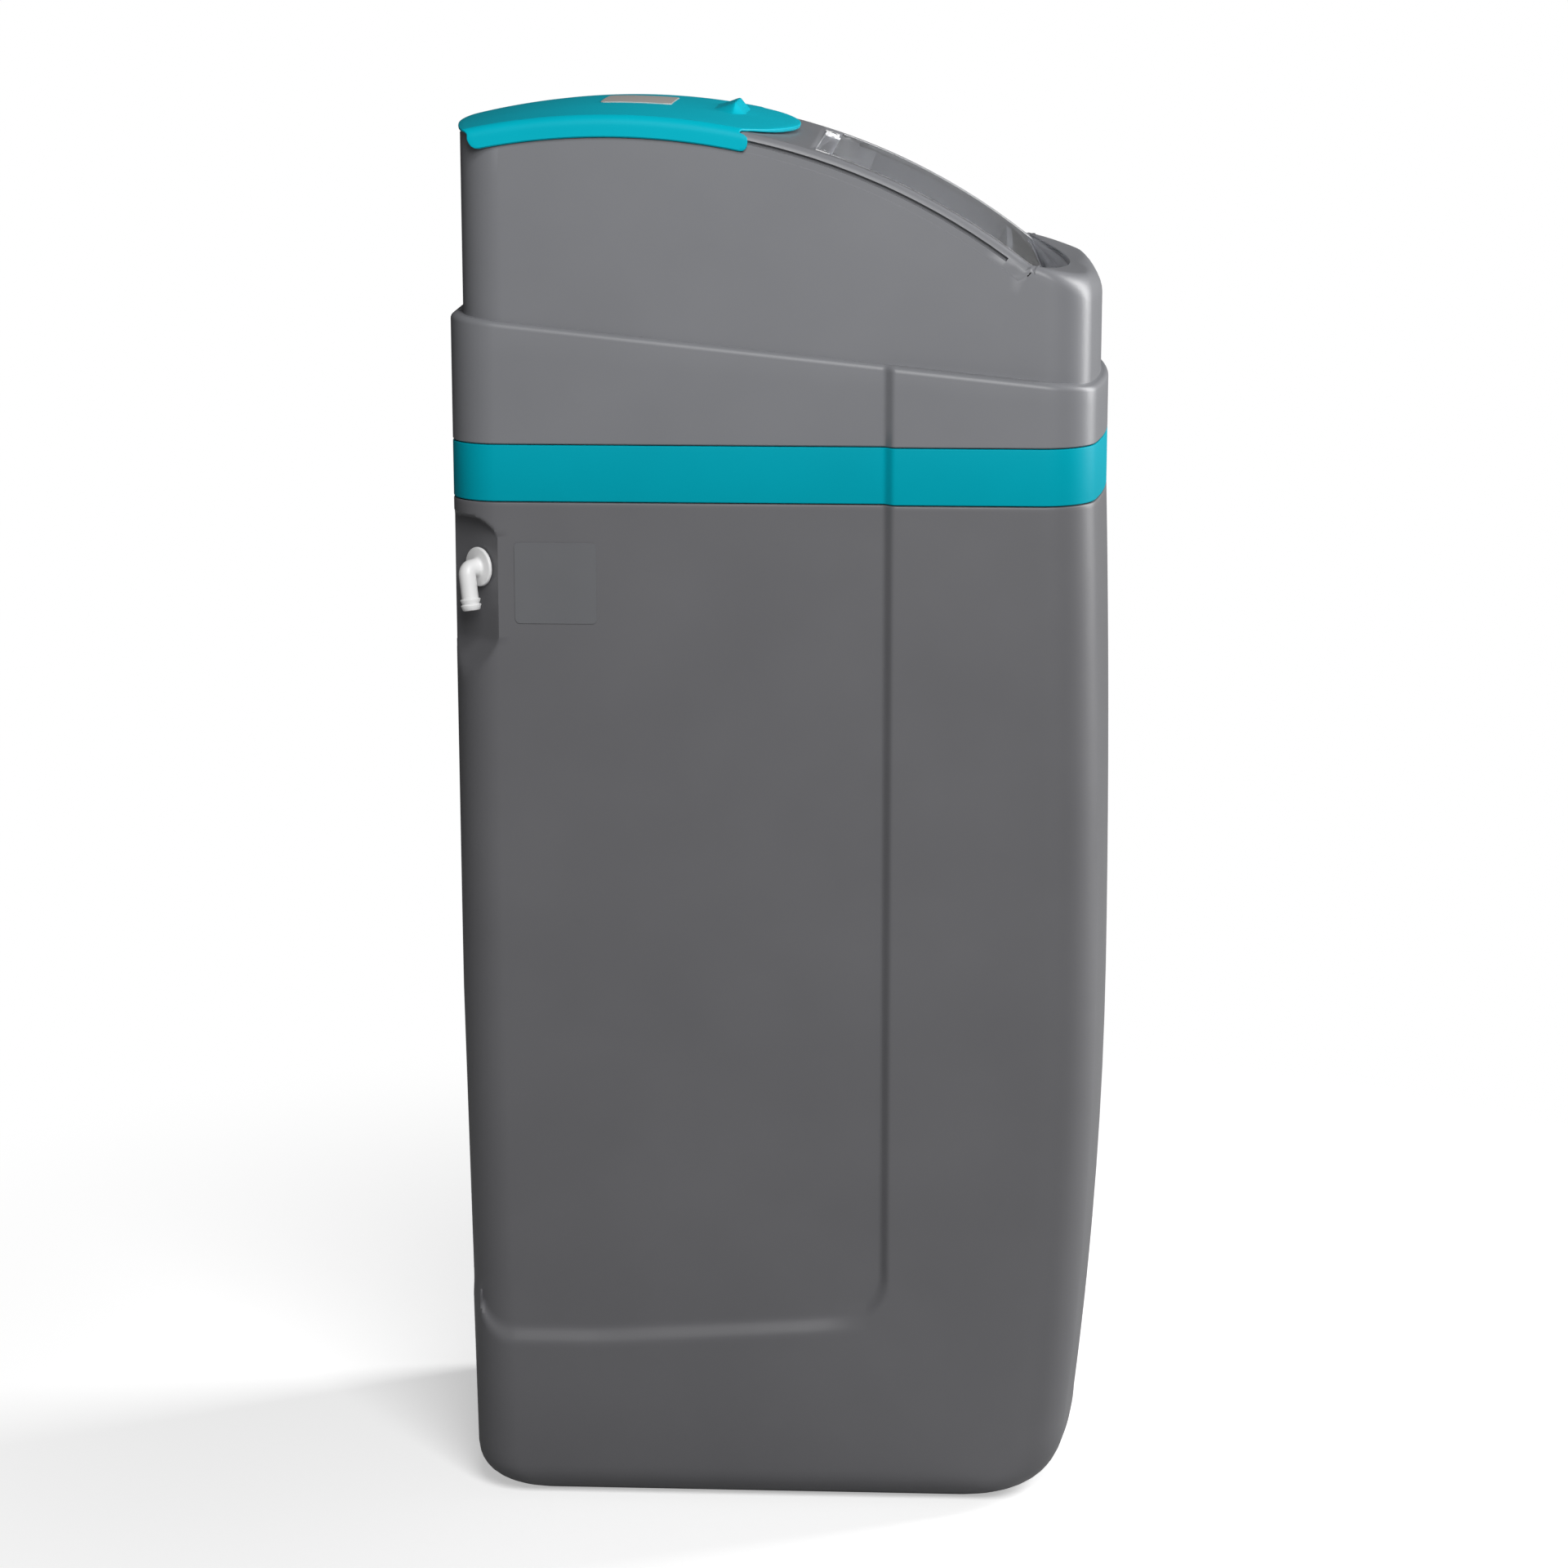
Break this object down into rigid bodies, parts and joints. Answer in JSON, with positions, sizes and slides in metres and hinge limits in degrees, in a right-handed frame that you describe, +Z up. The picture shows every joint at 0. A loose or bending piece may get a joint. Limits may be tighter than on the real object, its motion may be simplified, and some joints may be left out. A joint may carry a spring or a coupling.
{
  "type": "water softener",
  "caption": "Tall cabinet water softener with a sliding salt lid, a hinged clear window over its control panel, a resin tank, a piston valve, a brine well and pipe sockets at the back.",
  "frame": {"origin": "centre of the box on the floor it stands on", "axes": "+X towards the front, where the window and controls are; +Y across, away from the overflow elbow; +Z up"},
  "size_m": [0.5219, 0.322, 1.1273],
  "materials": {
    "cabinet_grey": "fine satin grain",
    "cover_grey": "satin",
    "band_teal": "satin",
    "lid_teal": "soft gloss",
    "badge": "satin, bare",
    "label": "satin, bare",
    "clear_pane": "clear",
    "display": "glossy, blank",
    "panel_dark": "matte",
    "white_plastic": "satin",
    "black_plastic": "satin",
    "grey_plastic": "satin",
    "seal_rubber": "matte",
    "steel": "brushed",
    "tank_wrap": "wound fibre and resin",
    "resin": "wet beads",
    "board_green": "solder mask",
    "float_blue": "satin"
  },
  "bodies": {
    "housing": {"cabinet": "cabinet_grey", "trim_band": "band_teal", "top_cover": "cover_grey", "hinge_pins": "steel", "hinge_blocks": "white_plastic", "control_panel": "panel_dark", "lcd_screen": "display", "circuit_board": "board_green", "panel_screws": "steel", "side_label": "label", "overflow_elbow": "white_plastic", "overflow_gasket": "seal_rubber", "overflow_nut": "white_plastic", "resin_tank": "tank_wrap", "tank_boot": "black_plastic", "resin_bed": "resin", "riser_tube": "white_plastic", "bottom_distributor": "grey_plastic", "top_basket": "grey_plastic", "tank_seal": "seal_rubber", "valve_body": "black_plastic", "end_plug": "white_plastic", "piston_spacers": "grey_plastic", "piston_seals": "seal_rubber", "drive_bracket": "panel_dark", "bracket_screws": "steel", "drive_motor": "steel", "injector": "white_plastic", "injector_cap": "black_plastic", "meter_cage": "white_plastic", "port_elbows": "black_plastic", "union_nuts": "black_plastic", "water_pipes": "white_plastic", "pipe_sockets": "black_plastic", "drain_line": "white_plastic", "drain_socket": "white_plastic", "power_inlet": "black_plastic", "brine_line": "white_plastic", "brine_well": "white_plastic", "well_cap": "white_plastic", "brine_valve": "white_plastic", "pickup_tube": "white_plastic", "air_check": "white_plastic"},
    "lid": {"salt_lid": "lid_teal", "lid_glides": "panel_dark", "badge_plate": "badge"},
    "window": {"display_window": "clear_pane"},
    "button_1": {"button_1": "white_plastic"},
    "button_2": {"button_2": "white_plastic"},
    "button_3": {"button_3": "white_plastic"},
    "button_4": {"button_4": "white_plastic"},
    "float": {"float_rod": "steel", "brine_float": "float_blue"},
    "drive_gear": {"drive_gear": "white_plastic"},
    "motor_pinion": {"motor_pinion": "steel"},
    "piston": {"piston": "white_plastic", "piston_rod": "steel"},
    "meter_turbine": {"meter_turbine": "float_blue"}
  },
  "joints": [
    {"name": "lid_slide", "type": "hinge", "parent": "housing", "child": "lid", "pos_m": [-0.1365, 0, 0.59], "axis": [0, 1, 0], "range_deg": [0, 26]},
    {"name": "window_hinge", "type": "hinge", "parent": "housing", "child": "window", "pos_m": [0.02826, 0, 1.09111], "axis": [0, 1, 0], "range_deg": [-95, 0]},
    {"name": "button_1_press", "type": "slide", "parent": "housing", "child": "button_1", "axis": [-0.4848, 0, -0.8746], "range_m": [0, 0.0012], "stiffness_N_per_m": 300, "springref_m": -0.0015},
    {"name": "button_2_press", "type": "slide", "parent": "housing", "child": "button_2", "axis": [-0.4848, 0, -0.8746], "range_m": [0, 0.0012], "stiffness_N_per_m": 300, "springref_m": -0.0015},
    {"name": "button_3_press", "type": "slide", "parent": "housing", "child": "button_3", "axis": [-0.4848, 0, -0.8746], "range_m": [0, 0.0012], "stiffness_N_per_m": 300, "springref_m": -0.0015},
    {"name": "button_4_press", "type": "slide", "parent": "housing", "child": "button_4", "axis": [-0.4848, 0, -0.8746], "range_m": [0, 0.0012], "stiffness_N_per_m": 300, "springref_m": -0.0015},
    {"name": "float_rise", "type": "slide", "parent": "housing", "child": "float", "axis": [0, 0, 1], "range_m": [0, 0.04]},
    {"name": "gear_turn", "type": "hinge", "parent": "housing", "child": "drive_gear", "pos_m": [0.146, 0, 0.903], "axis": [1, 0, 0], "range_deg": [0, 720]},
    {"name": "pinion_turn", "type": "hinge", "parent": "housing", "child": "motor_pinion", "pos_m": [0.146, 0, 0.945], "axis": [1, 0, 0], "range_deg": [-1800, 0]},
    {"name": "piston_stroke", "type": "slide", "parent": "housing", "child": "piston", "axis": [1, 0, 0], "range_m": [-0.022, 0]},
    {"name": "turbine_spin", "type": "hinge", "parent": "housing", "child": "meter_turbine", "pos_m": [0.084, 0.045, 0.903], "axis": [0, 1, 0], "continuous": true}
  ],
  "couplings": [
    {"joint": "pinion_turn", "follows": "gear_turn", "ratio": -2.5},
    {"joint": "piston_stroke", "follows": "gear_turn", "m_per_rad": -0.0017507}
  ]
}
